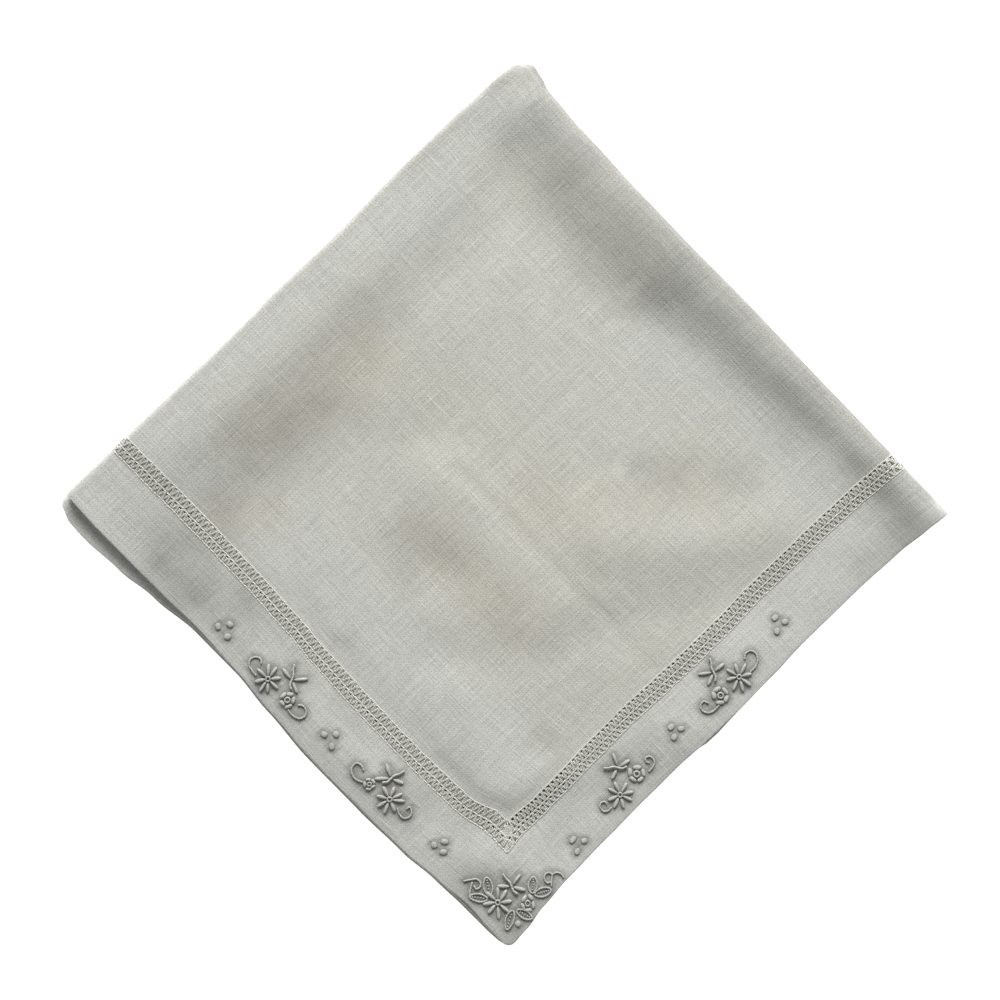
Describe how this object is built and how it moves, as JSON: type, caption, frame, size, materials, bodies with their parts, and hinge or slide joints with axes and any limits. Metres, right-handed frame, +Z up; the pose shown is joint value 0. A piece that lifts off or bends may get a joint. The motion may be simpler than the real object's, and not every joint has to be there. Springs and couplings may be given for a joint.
{
  "type": "folded linen handkerchief",
  "caption": "Linen handkerchief folded in quarters, lying flat, with a drawn-thread hemstitched hem and whitework flower sprays along the hem and in the corner",
  "frame": {"origin": "Centre of the footprint, on the surface the cloth lies on", "axes": "+Z up out of the embroidered top layer, +X towards the side hem and away from the first fold, +Y towards the second fold and away from the lower hem"},
  "size_m": [0.1434, 0.147, 0.0072],
  "materials": {
    "linen": "fine plain-weave linen, dull, undyed grey-beige"
  },
  "bodies": {
    "root": {"cloth": "linen"}
  },
  "joints": []
}
